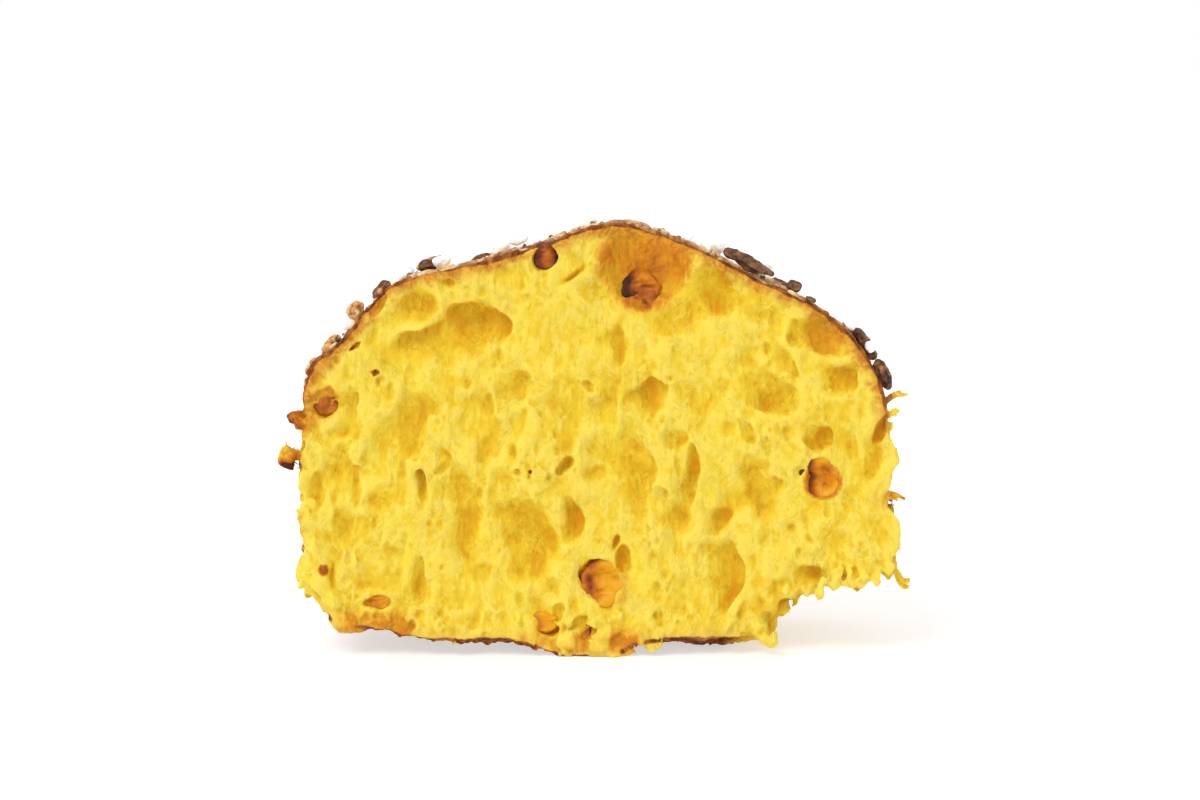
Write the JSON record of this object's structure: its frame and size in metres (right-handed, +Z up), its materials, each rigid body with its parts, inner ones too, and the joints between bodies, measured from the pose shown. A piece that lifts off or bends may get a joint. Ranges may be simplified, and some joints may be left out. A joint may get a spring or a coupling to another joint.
{
  "type": "colomba cake slice",
  "caption": "Thick upright slice of sweet yellow colomba cake with an airy crumb, a domed glazed crust, pearl sugar, chopped almonds and candied orange peel.",
  "frame": {"origin": "on the board, under the middle of the slice's box", "axes": "+X to the right as the front cut face is looked at, -Y out of the front cut face, +Z up"},
  "size_m": [0.1252, 0.038, 0.0925],
  "materials": {
    "baked_crumb": "soft open yellow crumb with a thin brown baked crust",
    "almond_glaze": "thin crackled baked almond and sugar glaze, dull",
    "pearl_sugar": "hard white sugar grains with a faint sparkle",
    "almond_skin": "roasted brown almond pieces",
    "candied_peel": "sticky translucent candied orange peel"
  },
  "bodies": {
    "root": {"cake_slice": "baked_crumb", "almond_glaze": "almond_glaze", "candied_peel_under_dome": "candied_peel", "candied_peel_top_edge": "candied_peel", "candied_peel_left_shoulder": "candied_peel", "candied_peel_right_hole": "candied_peel", "candied_peel_lower_middle": "candied_peel", "candied_peel_base_left": "candied_peel", "candied_peel_base_middle": "candied_peel", "candied_peel_base_lump": "candied_peel", "pearl_sugar_01": "pearl_sugar", "pearl_sugar_02": "pearl_sugar", "pearl_sugar_03": "pearl_sugar", "pearl_sugar_04": "pearl_sugar", "pearl_sugar_05": "pearl_sugar", "pearl_sugar_06": "pearl_sugar", "pearl_sugar_07": "pearl_sugar", "pearl_sugar_08": "pearl_sugar", "pearl_sugar_09": "pearl_sugar", "pearl_sugar_10": "pearl_sugar", "pearl_sugar_11": "pearl_sugar", "pearl_sugar_12": "pearl_sugar", "pearl_sugar_13": "pearl_sugar", "pearl_sugar_14": "pearl_sugar", "pearl_sugar_15": "pearl_sugar", "pearl_sugar_16": "pearl_sugar", "pearl_sugar_17": "pearl_sugar", "almond_chip_01": "almond_skin", "almond_chip_02": "almond_skin", "almond_chip_03": "almond_skin", "almond_chip_04": "almond_skin", "almond_chip_05": "almond_skin", "almond_chip_06": "almond_skin", "almond_chip_07": "almond_skin", "almond_chip_08": "almond_skin", "almond_chip_09": "almond_skin", "almond_chip_10": "almond_skin", "almond_chip_11": "almond_skin", "almond_chip_12": "almond_skin", "almond_chip_13": "almond_skin", "almond_chip_14": "almond_skin"}
  },
  "joints": []
}
